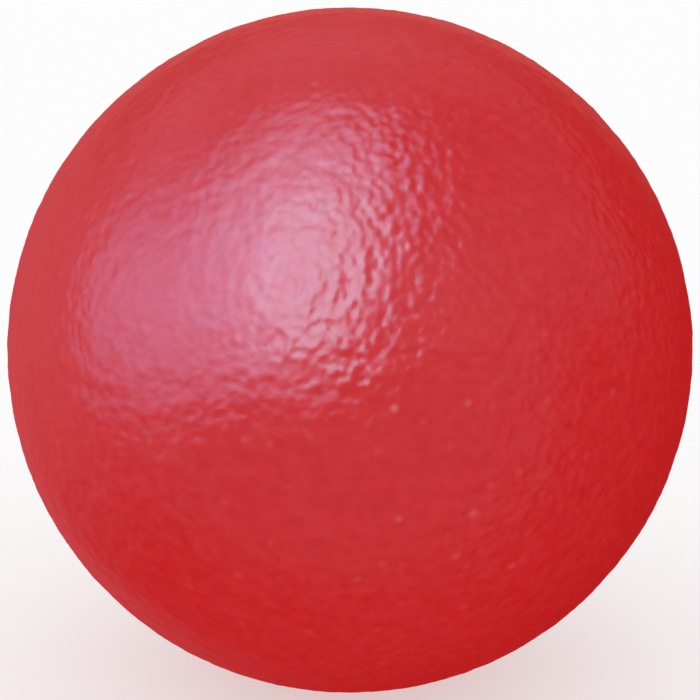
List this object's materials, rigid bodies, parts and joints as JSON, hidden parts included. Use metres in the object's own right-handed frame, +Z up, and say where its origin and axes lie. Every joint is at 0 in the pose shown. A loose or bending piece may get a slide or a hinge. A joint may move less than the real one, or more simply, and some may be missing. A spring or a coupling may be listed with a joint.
{
  "type": "dodgeball",
  "caption": "Round coated foam dodgeball: a soft foam core under a seamless, finely wrinkled red elastomer skin, at rest on the small flat that its weight presses.",
  "frame": {"origin": "centre of the ball", "axes": "+Z up, square to the flat that the ball rests on; X and Y are free, because the ball is round about Z"},
  "size_m": [0.1778, 0.1778, 0.1773],
  "materials": {
    "foam": "matte",
    "seal_coat": "matte",
    "skin": "satin"
  },
  "bodies": {
    "root": {"foam_core": "foam", "seal_coat": "seal_coat", "skin": "skin"}
  },
  "joints": []
}
